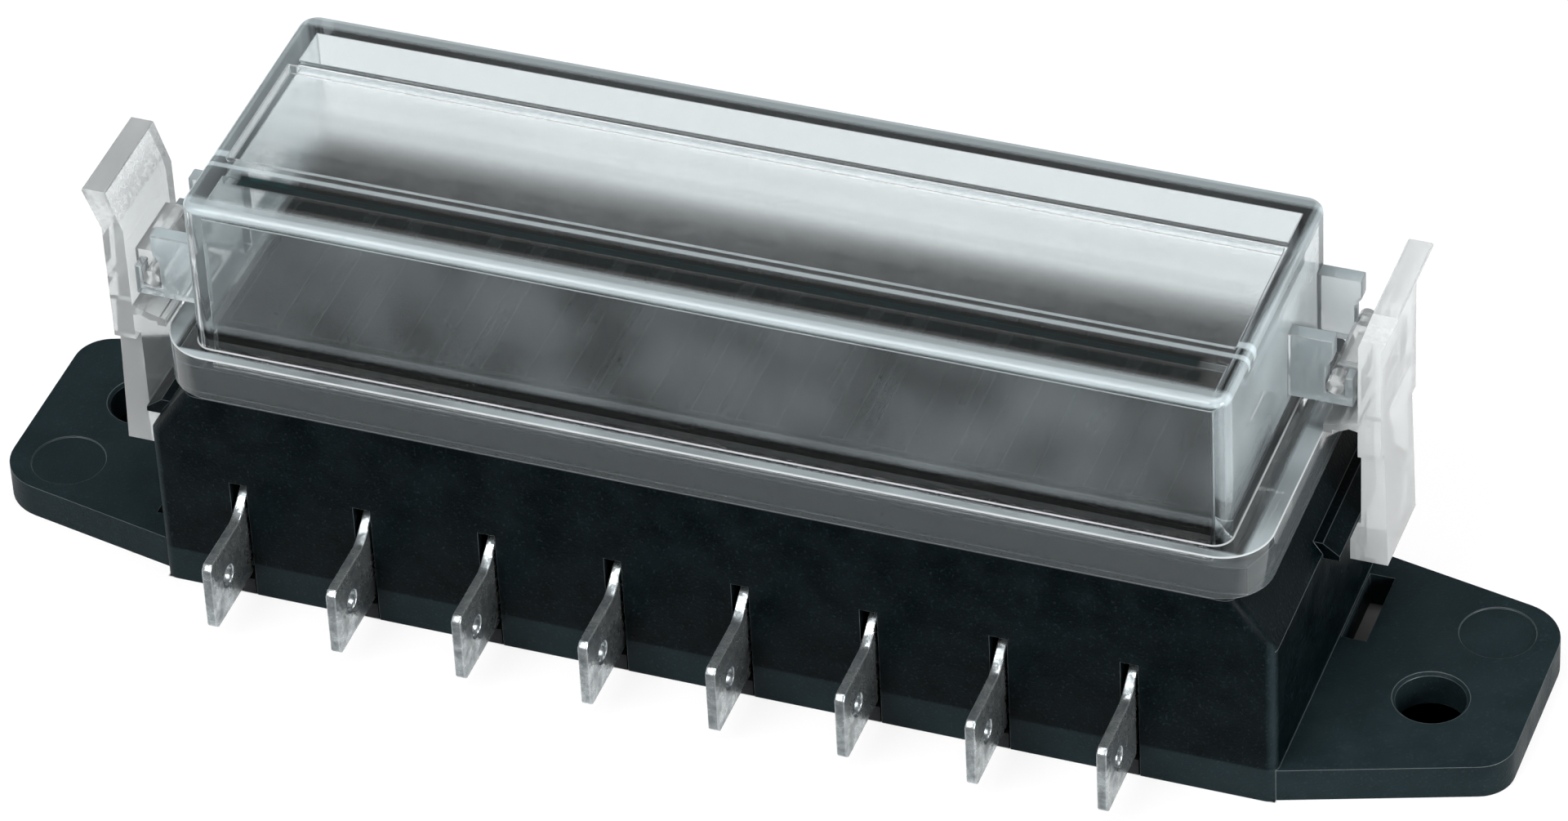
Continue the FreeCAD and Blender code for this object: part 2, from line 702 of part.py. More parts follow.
def make_terminal(label, index, rear):
    """Stamped terminal: spade blade with hole, shoulder, jog and sprung clip."""
    body = new_body(label)
    wall_face = "body_deep/2"
    blade = new_sketch(body, "YZ_Plane", label + "_blade_profile", "-tab_shift-tab_thick/2")
    outline(blade, [
        ("-(%s+tab_reach-tab_bevel)" % wall_face, "tab_low"),
        ("-(%s-wall-jog_in)" % wall_face, "tab_low"),
        ("-(%s-wall-jog_in)" % wall_face, "tab_low+tab_high+shoulder_rise"),
        ("-(%s-wall)" % wall_face, "tab_low+tab_high+shoulder_rise"),
        ("-(%s-wall/2)" % wall_face, "tab_low+tab_high+shoulder_rise*3/4"),
        ("-(%s)" % wall_face, "tab_low+tab_high+shoulder_rise*2/5"),
        ("-(%s+shoulder_out/2)" % wall_face, "tab_low+tab_high+shoulder_rise/7"),
        ("-(%s+shoulder_out)" % wall_face, "tab_low+tab_high"),
        ("-(%s+tab_reach-tab_bevel)" % wall_face, "tab_low+tab_high"),
        ("-(%s+tab_reach)" % wall_face, "tab_low+tab_high-tab_bevel"),
        ("-(%s+tab_reach)" % wall_face, "tab_low+tab_bevel")])
    disc(blade, "-(%s+tab_hole_in)" % wall_face, "tab_low+tab_high/2", "tab_hole_radius")
    raise_from(body, blade, label + "_blade", "tab_thick")

    jog = new_sketch(body, "XY_Plane", label + "_jog_outline", "tab_low")
    jog_end = "-(%s-wall-jog_in)" % wall_face
    outline(jog, box_outline("-tab_shift-tab_thick/2", jog_end + "-tab_thick",
                             "tab_thick/2", jog_end))
    raise_from(body, jog, label + "_jog", "clip_plate_top-tab_low")

    inner = new_sketch(body, "YZ_Plane", label + "_inner_profile", "-tab_thick/2")
    outline(inner, box_outline(jog_end + "-tab_thick/2", "plate_thick", "-clip_near", "clip_plate_top"))
    raise_from(body, inner, label + "_inner", "tab_thick")

    clip = new_sketch(body, "XZ_Plane", label + "_clip_profile", "clip_near")
    waist = "(clip_gap/2)"
    outline(clip, [
        ("-tab_thick/2", "clip_root"), ("-tab_thick*1.5", "clip_root"),
        ("-clip_bulge", "clip_plate_top+tab_thick"),
        ("-%s-tab_thick" % waist, "clip_top-2*tab_thick"),
        ("-clip_bulge", "clip_top"), ("-clip_bulge+tab_thick", "clip_top"),
        ("-%s" % waist, "clip_top-2*tab_thick"),
        ("-clip_bulge+tab_thick", "clip_plate_top+tab_thick"),
        ("-tab_thick/2", "clip_plate_top"),
        ("tab_thick/2", "clip_plate_top"),
        ("clip_bulge-tab_thick", "clip_plate_top+tab_thick"),
        ("%s" % waist, "clip_top-2*tab_thick"),
        ("clip_bulge-tab_thick", "clip_top"), ("clip_bulge", "clip_top"),
        ("%s+tab_thick" % waist, "clip_top-2*tab_thick"),
        ("clip_bulge", "clip_plate_top+tab_thick"),
        ("tab_thick*1.5", "clip_root"), ("tab_thick/2", "clip_root")])
    raise_from(body, clip, label + "_clip", "clip_long")

    turn = FreeCAD.Rotation(V(0, 0, 1), 180 if rear else 0)
    body.Placement = FreeCAD.Placement(V(0, 0, 0), turn)
    body.setExpression("Placement.Base.x", named("(%d-(fuse_count-1)/2)*fuse_pitch" % index))
    doc.recompute()
    return body


def main():
    made = [make_housing(), make_plate(), make_cover()]
    made.append(make_latch("latch_right", False))
    made.append(make_latch("latch_left", True))
    for i in range(int(val("fuse_count"))):
        made.append(make_terminal("front_terminal_%d" % (i + 1), i, False))
    for i in range(int(val("fuse_count"))):
        made.append(make_terminal("rear_terminal_%d" % (i + 1), i, True))
    doc.recompute()
    for thing in doc.Objects:
        if "Invalid" in thing.State or "Error" in thing.State:
            raise RuntimeError("bad state: " + thing.Name)
    for body in made:
        shape = body.Shape
        if shape.isNull() or not shape.isValid() or len(shape.Solids) != 1:
            raise RuntimeError("bad shape: %s with %d solids" % (body.Label, len(shape.Solids)))
        shape.exportStep("parts/%s.step" % body.Label)
        print("%s %.2f mm3" % (body.Label, shape.Volume))


main()
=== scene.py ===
import json
import math

import bmesh
import bpy
from mathutils import Matrix, Vector


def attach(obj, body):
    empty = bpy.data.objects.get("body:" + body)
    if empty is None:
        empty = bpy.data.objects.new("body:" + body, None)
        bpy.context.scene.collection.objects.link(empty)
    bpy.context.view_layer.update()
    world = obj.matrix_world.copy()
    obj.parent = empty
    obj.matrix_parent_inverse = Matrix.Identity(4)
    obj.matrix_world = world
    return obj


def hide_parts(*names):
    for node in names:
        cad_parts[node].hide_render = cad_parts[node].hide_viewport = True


# Looks for the blade fuse box: clear polished cover and latch levers over a
# black spark-finished housing, with tin plated blades along both long sides.

MM = 0.001

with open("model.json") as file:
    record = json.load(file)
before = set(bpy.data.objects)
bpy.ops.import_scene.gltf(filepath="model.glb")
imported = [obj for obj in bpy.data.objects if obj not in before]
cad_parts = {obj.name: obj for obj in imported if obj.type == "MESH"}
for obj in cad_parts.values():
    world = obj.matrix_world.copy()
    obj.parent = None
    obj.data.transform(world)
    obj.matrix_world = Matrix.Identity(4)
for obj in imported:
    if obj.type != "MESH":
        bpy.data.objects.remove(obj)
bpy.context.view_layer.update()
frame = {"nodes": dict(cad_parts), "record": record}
nodes = frame["nodes"]

# Camera, fitted to the photograph
AZIMUTH = 21.815
ELEVATION = 39.265
ROLL = -3.23
DISTANCE = 618.54 * MM
LOOK_AT = Vector((0.912, 2.302, 15.0)) * MM
LENS = 183.2
SENSOR = 36.0

# Radii left by the mould and the press on visible edges
CLEAR_EDGE = 0.26 * MM
BLACK_EDGE = 0.24 * MM
BLADE_EDGE = 0.12 * MM
EDGE_STEPS = 2
ROUNDED_FROM = math.radians(32)

# Facets closer than this are one face, and points closer than this are one point
SAME_FACE = math.radians(0.6)
SAME_POINT = 0.002 * MM
FLAT_FACE_WEIGHT = 100

# Colours of the finishes: plain black and the lighter black that specks, painted highlights and painted
# light reach toward, dull and bright tin
HOUSING_BLACK = ((0.0003, 0.0018, 0.0024), (0.005, 0.0095, 0.0112))
# Lighter black on the housing's rounded edges: a painted highlight along every edge
HIGHLIGHT_EDGE_BLACK = ((0.02, 0.028, 0.032), (0.032, 0.041, 0.045))
PLATE_BLACK = ((0.004, 0.005, 0.0056), (0.011, 0.012, 0.013))
BLADE_TIN = ((0.17, 0.19, 0.2), (0.42, 0.46, 0.47))
# Lighter tin on the blades' rounded edges: a painted highlight along them
HIGHLIGHT_EDGE_TIN = ((0.28, 0.31, 0.32), (0.5, 0.53, 0.54))

# Clear plastic: tint of the light that passes, colour of its milk, clean and rubbed roughness
COVER_CLEAR = ((0.91, 0.945, 0.955), (0.77, 0.88, 0.92), (0.03, 0.08))
LATCH_CLEAR = ((0.9, 0.935, 0.945), (0.88, 0.905, 0.91), (0.02, 0.07))
# Rounded edges of the clear parts: a darker tint, painted shade, under the milk of their painted highlight
EDGE_CLEAR = ((0.7, 0.76, 0.78), (0.87, 0.905, 0.915), (0.05, 0.1))
CLEAR_INDEX = 1.57
# Colour that the painted dark reflections and the painted shade blend the cover's tint toward
PAINTED_SHADE_COLOUR = (0.0, 0.004, 0.005)

# Share of milk on the places of the cover and the levers; on the cover's corners, ledge, wall tops and
# lines it is a painted highlight
COVER_MILK = {"veil": 0.108, "foot": 0.07, "ends": 0.34, "corners": 0.18, "ledge": 0.55,
              "wall tops": 0.34, "lines": 0.42, "skirt": 0.09, "panel": 0.035}
LATCH_MILK = {"sides": 0.12, "tops": 0.14, "grip": 0.12, "lit end": 0.22}
LATCH_BODY_MILK = 0.16
# Milk of the rounded edges and of the ledge's lip: a painted highlight
EDGE_HIGHLIGHT_MILK = (0.27, 0.36)
LIP_HIGHLIGHT_MILK = 0.4
REAR_VEIL = 0.3

# Added roughness
PANEL_DULLNESS = 0.12
GRIP_DULLNESS = 0.15
EDGE_DULLNESS = 0.1

# Bands along the cover's top, in mm from its middle: place, width and, for the painted dark reflections,
# darkness; the pale lines are painted highlights
DARK_PAINTED_REFLECTIONS = ((-8.6, 1.7, 1.0), (1.6, 1.2, 0.14), (6.6, 0.4, 0.3))
MOTTLED_PAINTED_REFLECTION = (-4.1, 2.6, 0.5)
PAINTED_HIGHLIGHT_LINES = ((-5.8, 0.7), (-7.2, 0.5))
STRIPE_SOFTNESS = 0.35
# Painted shade in the cover's tint: a black band at the wall foot, a grey skirt and a darker front wall
FOOT_PAINTED_SHADE = 0.85
SKIRT_PAINTED_SHADE = 0.85
FRONT_PAINTED_SHADE = 0.42


def soft_step(place, width):
    """Place and width of a soft step, from millimetres."""
    return place * MM, width * MM


# Heights on the cover
SKIRT_DARK_TOP = soft_step(22.9, 0.2)
LEDGE_BOTTOM = soft_step(23.2, 0.1)
LEDGE_TOP = soft_step(23.5, 0.1)
DARK_FOOT_BOTTOM = soft_step(23.6, 0.2)
DARK_FOOT_TOP = soft_step(25.1, 0.4)
WALL_BOTTOM = soft_step(25.3, 0.5)
FRONT_SHADE_BOTTOM = soft_step(25.3, 0.4)
PALE_FOOT_TOP = soft_step(26.0, 0.3)
PANEL_BOTTOM = soft_step(34.5, 0.2)
TOP_SKIN = soft_step(35.9, 0.1)
FRONT_SHADE_TOP = soft_step(36.2, 0.4)
TOP_CORNER = soft_step(36.4, 0.3)
WALL_TOP = soft_step(36.5, 0.2)
WALL_EDGE = soft_step(36.9, 0.1)

# Half depths on the cover
PANEL_DEEP = soft_step(6.2, 0.2)
WALL_TOP_DEEP = soft_step(11.4, 0.5)
CORNER_DEEP = soft_step(12.2, 0.4)
DARK_FOOT_DEEP = soft_step(12.4, 0.2)
WALL_DEEP = soft_step(12.6, 0.2)
LEDGE_RIM_DEEP = soft_step(13.3, 0.3)

# Depth of the cover's front wall, which is on the negative side
FRONT_WALL = soft_step(-12.6, 0.2)

# Half lengths on the cover
FRONT_SHADE_LONG = soft_step(38.5, 5.0)
PAINTED_REFLECTION_LONG = soft_step(39.0, 1.5)
CORNER_LONG = soft_step(41.0, 0.4)
END_LONG = soft_step(41.4, 0.2)
LEDGE_RIM_LONG = soft_step(43.0, 0.4)

# Places on the rounded edges, the levers and the housing
LIP_BOTTOM = soft_step(22.8, 0.1)
LIP_TOP = soft_step(23.6, 0.1)
GRIP_BOTTOM = soft_step(32.9, 0.2)
GRIP_TOP = soft_step(34.7, 0.2)
LIT_END = soft_step(46.0, 1.0)
BLOCK_CORNER_LONG = soft_step(45.1, 0.5)
BLOCK_CORNER_DEEP = soft_step(13.5, 0.5)
ABOVE_EARS = soft_step(3.2, 1.0)
EAR_TOP = soft_step(3.2, 0.2)

# Soft steps without a unit: facing along an axis, and near two of three faces at once
SQUARE_ON = (0.8, 0.2)
TWO_OF_THREE = (1.55, 0.5)

# Spans of the noise that become the dark and the bright end of a finish
WIDE_SPAN = (0.3, 0.7)
HIGH_SPAN = (0.35, 0.7)
EVEN_SPAN = (0.35, 0.65)
GRAIN_SPAN = (0.4, 0.6)
SPECK_SPAN = (0.6, 0.8)
TIN_SPAN = (0.35, 0.68)

# Noise stretched along the box, and along the blades' depth
ALONG_BOX = (0.2, 1.0, 1.0)
ALONG_STREAK = (0.5, 1.0, 1.0)
ALONG_BLADE = (1.0, 0.12, 1.0)

# Painted highlight on the block's corners and painted light on the ears: where they brighten the black
# plastic, and how far past the lighter colour
CORNER_HIGHLIGHT = 1.6
EAR_PAINTED_LIGHT = 1.4
LIGHTENING_REACH = 2.5

# Floor: size, drop below the box, colour, and share that glows white to the eye
FLOOR_SIZE = 3.0
FLOOR_DROP = 0.05 * MM
FLOOR_COLOUR = (0.8, 0.8, 0.8)
FLOOR_GLOW = 0.85

# Dark footprints on the floor, as half length and half depth, and the shade that each adds
BESIDE_BLOCK = (49.5 * MM, 12.2 * MM)
BELOW_BLOCK = (45.6 * MM, 14.0 * MM)
BELOW_EARS = (60.0 * MM, 8.0 * MM)
EARS_FROM = soft_step(50.0, 0.5)
FOOTPRINT_EDGE = 0.2 * MM
BESIDE_SHADE = 0.8
BELOW_SHADE = 0.2

# Dark card in front of the box, seen by mirrored rays and partly through the plastic
CARD_AHEAD = 62.0 * MM
CARD_HALF = (75.0 * MM, 34.0 * MM)
CARD_EDGE = 8.0 * MM
CARD_STRENGTH = 0.12
CARD_THROUGH = 0.7

# World: light that it gives, more for rays seen straight, less for mirrored ones
SKY_LIGHT = 0.5
SKY_SEEN = 0.5
SKY_MIRRORED = 0.2

# Lamps: place, side and power in watts
LAMPS = {
    "key": ((-0.25, -0.54, 0.62), 0.45, 7.0),
    "side": ((0.75, -0.3, 0.22), 0.3, 6.0),
    "overhead": ((0.1, 0.05, 0.9), 0.5, 5.0),
}
LAMP_AIM = Vector((0.0, 0.0, 0.02))

BLACK = (0.0, 0.0, 0.0)
WHITE = (1.0, 1.0, 1.0, 1.0)


def new_material(name):
    material = bpy.data.materials.new(name)
    material.use_nodes = True
    tree = material.node_tree
    tree.nodes.clear()
    out = tree.nodes.new("ShaderNodeOutputMaterial")
    shader = tree.nodes.new("ShaderNodeBsdfPrincipled")
    tree.links.new(shader.outputs["BSDF"], out.inputs["Surface"])
    return material, tree, shader, out


def combine(tree, operation, first, second):
    node = tree.nodes.new("ShaderNodeMath")
    node.operation = operation
    for socket, value in zip(node.inputs, (first, second)):
        if isinstance(value, float):
            socket.default_value = value
        else:
            tree.links.new(value, socket)
    return node.outputs["Value"]


def total(tree, *shares):
    result = shares[0]
    for share in shares[1:]:
        result = combine(tree, "ADD", result, share)
    return result


def product(tree, *shares):
    result = shares[0]
    for share in shares[1:]:
        result = combine(tree, "MULTIPLY", result, share)
    return result


def size_of(tree, value):
    return combine(tree, "ABSOLUTE", value, 0.0)


def spread(tree, value, given, wanted):
    """The value moved from the given range to the wanted one."""
    node = tree.nodes.new("ShaderNodeMapRange")
    node.inputs["From Min"].default_value = given[0]
    node.inputs["From Max"].default_value = given[1]
    node.inputs["To Min"].default_value = wanted[0]
    node.inputs["To Max"].default_value = wanted[1]
    tree.links.new(value, node.inputs["Value"])
    return node.outputs["Result"]


def inverse(tree, share):
    return spread(tree, share, (0.0, 1.0), (1.0, 0.0))


def rises(tree, value, step):
    """0 below the soft step and 1 above it."""
    place, width = step
    return spread(tree, value, (place - width / 2, place + width / 2), (0.0, 1.0))


def falls(tree, value, step):
    """1 below the soft step and 0 above it."""
    place, width = step
    return spread(tree, value, (place - width / 2, place + width / 2), (1.0, 0.0))


def object_place(tree):
    """Position on the object, in metres."""
    return tree.nodes.new("ShaderNodeTexCoord").outputs["Object"]


def axes_of(tree, place):
    node = tree.nodes.new("ShaderNodeSeparateXYZ")
    tree.links.new(place, node.inputs["Vector"])
    return node.outputs["X"], node.outputs["Y"], node.outputs["Z"]


def noise(tree, place, size, detail, roughness, stretch=None):
    """Noise whose grains are about the given size in metres."""
    if stretch:
        mapping = tree.nodes.new("ShaderNodeMapping")
        mapping.inputs["Scale"].default_value = stretch
        tree.links.new(place, mapping.inputs["Vector"])
        place = mapping.outputs["Vector"]
    texture = tree.nodes.new("ShaderNodeTexNoise")
    texture.inputs["Scale"].default_value = 1.0 / size
    texture.inputs["Detail"].default_value = detail
    texture.inputs["Roughness"].default_value = roughness
    tree.links.new(place, texture.inputs["Vector"])
    return texture.outputs["Fac"]


def blend_colour(tree, factor, first, second):
    node = tree.nodes.new("ShaderNodeMix")
    node.data_type = "RGBA"
    node.inputs["A"].default_value = (*first, 1.0)
    node.inputs["B"].default_value = (*second, 1.0)
    tree.links.new(factor, node.inputs["Factor"])
    return node.outputs["Result"]


def bump(tree, shader, height, depth, after=None):
    """Surface relief of the given depth in metres, on top of an earlier one if named."""
    node = tree.nodes.new("ShaderNodeBump")
    node.inputs["Strength"].default_value = 1.0
    node.inputs["Distance"].default_value = depth
    tree.links.new(height, node.inputs["Height"])
    if after:
        tree.links.new(after, node.inputs["Normal"])
    tree.links.new(node.outputs["Normal"], shader.inputs["Normal"])
    return node.outputs["Normal"]


def black_plastic(name, colours, roughness, grain, shine=0.045):
    """Black moulded plastic with fine specks, faint mottling, a painted highlight on the block's vertical
    corners and painted light on the low ears.
    """
    material, tree, shader, _ = new_material(name)
    place = object_place(tree)
    x, y, z = axes_of(tree, place)
    mottle = noise(tree, place, size=3.5 * MM, detail=2.0, roughness=0.6)
    speck = noise(tree, place, size=grain, detail=1.0, roughness=0.6)
    # Painted highlight along the block's rounded vertical corners, and painted light on everything below
    # the ear tops; the specks and mottling are the plastic's own tone
    corner = product(tree, rises(tree, size_of(tree, x), BLOCK_CORNER_LONG),
                     rises(tree, size_of(tree, y), BLOCK_CORNER_DEEP), rises(tree, z, ABOVE_EARS))
    ears = falls(tree, z, EAR_TOP)
    unevenness = total(tree,
                 spread(tree, mottle, HIGH_SPAN, (0.0, 0.4)), spread(tree, speck, SPECK_SPAN, (0.0, 1.4)),
                 product(tree, corner, CORNER_HIGHLIGHT), product(tree, ears, EAR_PAINTED_LIGHT))
    plain, speck_and_highlight = colours
    brightest = [p + LIGHTENING_REACH * (r - p) for p, r in zip(plain, speck_and_highlight)]
    share = product(tree, unevenness, 1.0 / LIGHTENING_REACH)
    tree.links.new(blend_colour(tree, share, plain, brightest), shader.inputs["Base Color"])
    tree.links.new(spread(tree, mottle, HIGH_SPAN, (roughness - 0.06, roughness + 0.08)),
                   shader.inputs["Roughness"])
    shader.inputs["Specular IOR Level"].default_value = shine
    bump(tree, shader, speck, 0.03 * MM)
    return material


def stripe(tree, y, at, wide):
    """1 along a soft band that runs along the box, with its place and width in mm."""
    away = size_of(tree, combine(tree, "SUBTRACT", y, at * MM))
    return falls(tree, away, (wide * MM / 2, STRIPE_SOFTNESS * wide * MM))


def cover_frost_and_highlights(tree, place):
    """Milk of the cover: front veil, end walls, corners, ledge, wall tops, skirt, panel and its lines; on
    the corners, ledge, wall tops and lines it is a painted highlight.
    """
    x, y, z = axes_of(tree, place)
    long, deep = size_of(tree, x), size_of(tree, y)
    above = rises(tree, z, WALL_BOTTOM)
    walls = product(tree, above, falls(tree, z, WALL_EDGE), rises(tree, deep, WALL_DEEP),
                    spread(tree, y, (-MM, MM), (1.0, REAR_VEIL)))
    panel = product(tree, falls(tree, deep, PANEL_DEEP), rises(tree, z, PANEL_BOTTOM))
    near_corner = total(tree, rises(tree, long, CORNER_LONG), rises(tree, deep, CORNER_DEEP),
                        rises(tree, z, TOP_CORNER))
    ledge_rim = combine(tree, "MAXIMUM",
                        rises(tree, deep, LEDGE_RIM_DEEP), rises(tree, long, LEDGE_RIM_LONG))
    lines = total(tree, *[stripe(tree, y, at, wide) for at, wide in PAINTED_HIGHLIGHT_LINES])
    cloud = spread(tree, noise(tree, place, size=9.0 * MM, detail=1.0, roughness=0.6),
                   WIDE_SPAN, (0.5, 1.4))
    # Painted highlights: the milk on the corners, the ledge, the wall tops and the panel's edge lines
    masks = {
        "veil": (walls, cloud),
        "foot": (walls, falls(tree, z, PALE_FOOT_TOP)),
        "ends": (above, rises(tree, long, END_LONG), cloud),
        "corners": (above, rises(tree, near_corner, TWO_OF_THREE)),
        "ledge": (rises(tree, z, LEDGE_BOTTOM), falls(tree, z, LEDGE_TOP), ledge_rim, cloud),
        "wall tops": (rises(tree, z, WALL_TOP), rises(tree, deep, WALL_TOP_DEEP)),
        "lines": (rises(tree, z, TOP_SKIN), lines),
        "skirt": (falls(tree, z, LEDGE_BOTTOM),),
        "panel": (panel, cloud),
    }
    milk = total(tree, *[product(tree, *masks[name], share) for name, share in COVER_MILK.items()])
    return milk, product(tree, panel, PANEL_DULLNESS)


def cover_painted_reflections_and_shade(tree, place):
    """Painted dark reflections along the cover's top, and painted shade: a black wall foot, a grey skirt
    and a darker front wall.
    """
    x, y, z = axes_of(tree, place)
    long, deep = size_of(tree, x), size_of(tree, y)
    mottle = noise(tree, place, size=1.4 * MM, detail=2.0, roughness=0.7, stretch=ALONG_STREAK)
    mottled = spread(tree, mottle, EVEN_SPAN, (0.3, 1.0))
    # Painted dark reflections: bands along the cover's top
    painted_darkening = [product(tree, stripe(tree, y, at, wide), darkness)
               for at, wide, darkness in DARK_PAINTED_REFLECTIONS]
    at, wide, darkness = MOTTLED_PAINTED_REFLECTION
    painted_darkening.append(product(tree, stripe(tree, y, at, wide), mottled, darkness))
    on_top = product(tree, total(tree, *painted_darkening), rises(tree, z, TOP_SKIN), falls(tree, long, PAINTED_REFLECTION_LONG))
    # Painted shade: a black band at the wall foot, a grey skirt below the ledge and a darker front wall
    foot = product(tree, rises(tree, z, DARK_FOOT_BOTTOM), falls(tree, z, DARK_FOOT_TOP),
                   rises(tree, deep, DARK_FOOT_DEEP), FOOT_PAINTED_SHADE)
    skirt = product(tree, falls(tree, z, SKIRT_DARK_TOP), SKIRT_PAINTED_SHADE)
    front = product(tree, rises(tree, z, FRONT_SHADE_BOTTOM), falls(tree, z, FRONT_SHADE_TOP), falls(tree, y, FRONT_WALL),
                    falls(tree, long, FRONT_SHADE_LONG), FRONT_PAINTED_SHADE)
    return total(tree, on_top, foot, skirt, front)


def latch_frost(tree, place):
    """Milky body, whiter at the cut sides and the lit end, with a grained grip on the tab."""
    x, _, z = axes_of(tree, place)
    facing = tree.nodes.new("ShaderNodeTexCoord").outputs["Normal"]
    _, side, top = axes_of(tree, facing)
    grain = spread(tree, noise(tree, place, size=0.5 * MM, detail=1.0, roughness=0.7),
                   GRAIN_SPAN, (0.4, 1.2))
    masks = {
        "sides": rises(tree, size_of(tree, side), SQUARE_ON),
        "tops": rises(tree, size_of(tree, top), SQUARE_ON),
        "grip": product(tree, rises(tree, z, GRIP_BOTTOM), falls(tree, z, GRIP_TOP), grain),
        "lit end": rises(tree, x, LIT_END),
    }
    milk = total(tree, *[product(tree, masks[name], share) for name, share in LATCH_MILK.items()])
    return total(tree, milk, LATCH_BODY_MILK), product(tree, masks["grip"], GRIP_DULLNESS)


def edge_highlight_milk(tree, place):
    """Milk on the rounded edges of the clear parts, most at the ledge's lip: a painted highlight along the
    edges.
    """
    z = axes_of(tree, place)[2]
    lip = product(tree, rises(tree, z, LIP_BOTTOM), falls(tree, z, LIP_TOP), LIP_HIGHLIGHT_MILK)
    cloud = spread(tree, noise(tree, place, size=4.0 * MM, detail=1.0, roughness=0.6), WIDE_SPAN, EDGE_HIGHLIGHT_MILK)
    return total(tree, cloud, lip), EDGE_DULLNESS


def clear_plastic(name, finish, frost_and_highlights, painted_darkening=None):
    """Clear plastic: flow waves, finely uneven roughness, milky places, some of them painted highlights,
    and, where given, painted dark reflections and painted shade in its tint.
    """
    material, tree, shader, out = new_material(name)
    tint, milk_colour, roughness = finish
    place = object_place(tree)
    shader.inputs["Base Color"].default_value = (*tint, 1.0)
    if painted_darkening:
        tree.links.new(blend_colour(tree, painted_darkening(tree, place), tint, PAINTED_SHADE_COLOUR),
                       shader.inputs["Base Color"])
    shader.inputs["Transmission Weight"].default_value = 1.0
    shader.inputs["IOR"].default_value = CLEAR_INDEX
    milk, dullness = frost_and_highlights(tree, place)
    haze = noise(tree, place, size=7.0 * MM, detail=1.0, roughness=0.65, stretch=ALONG_BOX)
    unevenness = spread(tree, haze, HIGH_SPAN, roughness)
    tree.links.new(total(tree, unevenness, dullness), shader.inputs["Roughness"])
    waves = noise(tree, place, size=14.0 * MM, detail=0.0, roughness=0.5, stretch=ALONG_BOX)
    bump(tree, shader, waves, 0.03 * MM)
    back = tree.nodes.new("ShaderNodeBsdfDiffuse")
    through = tree.nodes.new("ShaderNodeBsdfTranslucent")
    cloudy = tree.nodes.new("ShaderNodeMixShader")
    for scatter, slot in ((back, 1), (through, 2)):
        scatter.inputs["Color"].default_value = (*milk_colour, 1.0)
        tree.links.new(scatter.outputs["BSDF"], cloudy.inputs[slot])
    both = tree.nodes.new("ShaderNodeMixShader")
    tree.links.new(milk, both.inputs["Fac"])
    tree.links.new(shader.outputs["BSDF"], both.inputs[1])
    tree.links.new(cloudy.outputs["Shader"], both.inputs[2])
    tree.links.new(both.outputs["Shader"], out.inputs["Surface"])
    return material


def tin_plate(name, colours):
    """Tin plating over stamped strip: drawn lines, bright rubs and dull spots."""
    material, tree, shader, _ = new_material(name)
    place = object_place(tree)
    shader.inputs["Metallic"].default_value = 0.86
    spots = noise(tree, place, size=1.6 * MM, detail=3.0, roughness=0.7)
    tree.links.new(blend_colour(tree, spread(tree, spots, TIN_SPAN, (0.0, 1.0)), *colours),
                   shader.inputs["Base Color"])
    tree.links.new(spread(tree, spots, WIDE_SPAN, (0.4, 0.18)), shader.inputs["Roughness"])
    dents = noise(tree, place, size=1.1 * MM, detail=2.0, roughness=0.6)
    lines = noise(tree, place, size=0.25 * MM, detail=1.0, roughness=0.6, stretch=ALONG_BLADE)
    lumps = bump(tree, shader, dents, 0.07 * MM)
    bump(tree, shader, lines, 0.004 * MM, after=lumps)
    return material


def dress(node, material):
    """Gives a CAD node its material."""
    piece = nodes[node]
    if not piece.material_slots:
        piece.data.materials.append(material)
    for slot in piece.material_slots:
        slot.material = material


def softened(node, body, radius, face, edge):
    """Copy of a node with the small radii that its edges have, standing for the node."""
    mesh = bmesh.new()
    mesh.from_mesh(nodes[node].data)
    bmesh.ops.remove_doubles(mesh, verts=mesh.verts, dist=SAME_POINT)
    bmesh.ops.dissolve_limit(mesh, angle_limit=SAME_FACE, verts=mesh.verts, edges=mesh.edges,
                             delimit=set())
    for polygon in mesh.faces:
        polygon.smooth = True
    data = bpy.data.meshes.new(node + "_soft")
    mesh.to_mesh(data)
    mesh.free()
    piece = bpy.data.objects.new(node + "_soft", data)
    bpy.context.collection.objects.link(piece)
    data.materials.clear()
    data.materials.append(face)
    data.materials.append(edge)
    bevel = piece.modifiers.new("edge radii", "BEVEL")
    bevel.width = radius
    bevel.segments = EDGE_STEPS
    bevel.limit_method = "ANGLE"
    bevel.angle_limit = ROUNDED_FROM
    bevel.use_clamp_overlap = True
    bevel.material = 1
    flat = piece.modifiers.new("flat faces", "WEIGHTED_NORMAL")
    flat.mode = "FACE_AREA"
    flat.weight = FLAT_FACE_WEIGHT
    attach(piece, body)
    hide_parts(node)


def body_of_node(node):
    for name, members in frame["record"]["behaviour"]["bodies"].items():
        if node in members:
            return name
    return None


